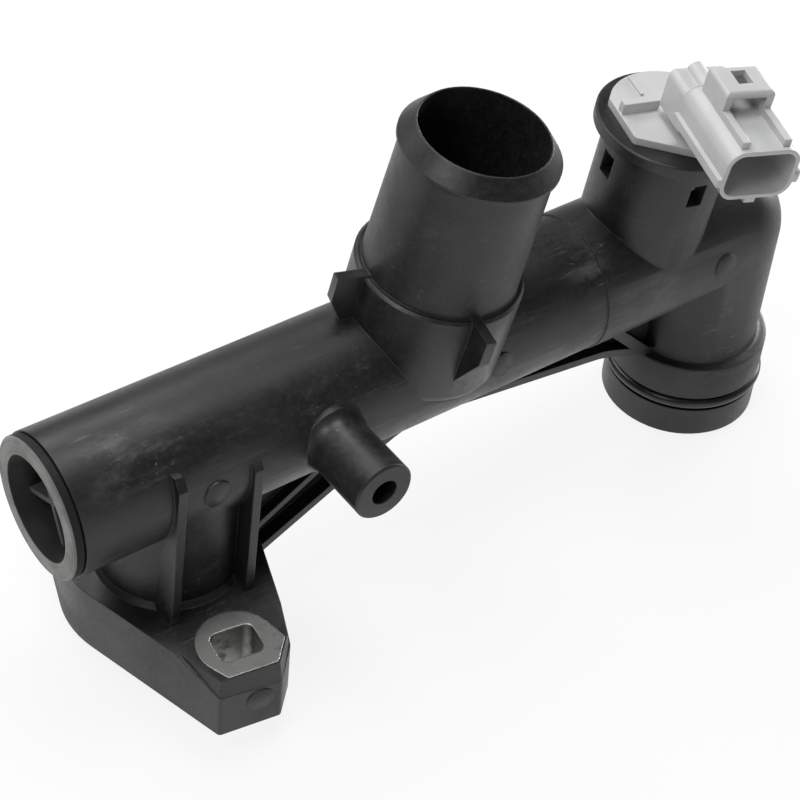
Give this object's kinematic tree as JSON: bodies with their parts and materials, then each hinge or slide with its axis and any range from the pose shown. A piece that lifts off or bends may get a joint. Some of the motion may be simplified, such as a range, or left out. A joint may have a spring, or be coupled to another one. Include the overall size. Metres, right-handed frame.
{
  "type": "coolant water outlet",
  "caption": "Moulded coolant tube with a flange foot, leaning hose neck, side boss, sealed spigot below the elbow and a plug-in temperature sensor.",
  "frame": {"origin": "centre of the flange port, on the flange's mounting face", "axes": "+Z away from the mounting face, parallel to the duct and the spigot; +X along the main tube from the open end to the sensor; -Y towards the side boss"},
  "size_m": [0.2392, 0.0988, 0.1385],
  "materials": {
    "housing": "matte, fine moulded grain",
    "insert": "dull, lightly worn",
    "bush": "worn, fine scratches",
    "seal": "semi-gloss rubber",
    "sensor": "satin moulded plastic",
    "probe": "turned",
    "terminal": "tinned"
  },
  "bodies": {
    "root": {"outlet_housing": "housing", "end_insert": "insert", "front_bolt_bush": "bush", "rear_bolt_bush": "bush", "spigot_ring": "seal", "face_seal": "seal", "sensor_body": "sensor", "sensor_probe": "probe", "sensor_ring": "seal", "sensor_terminals": "terminal"}
  },
  "joints": []
}
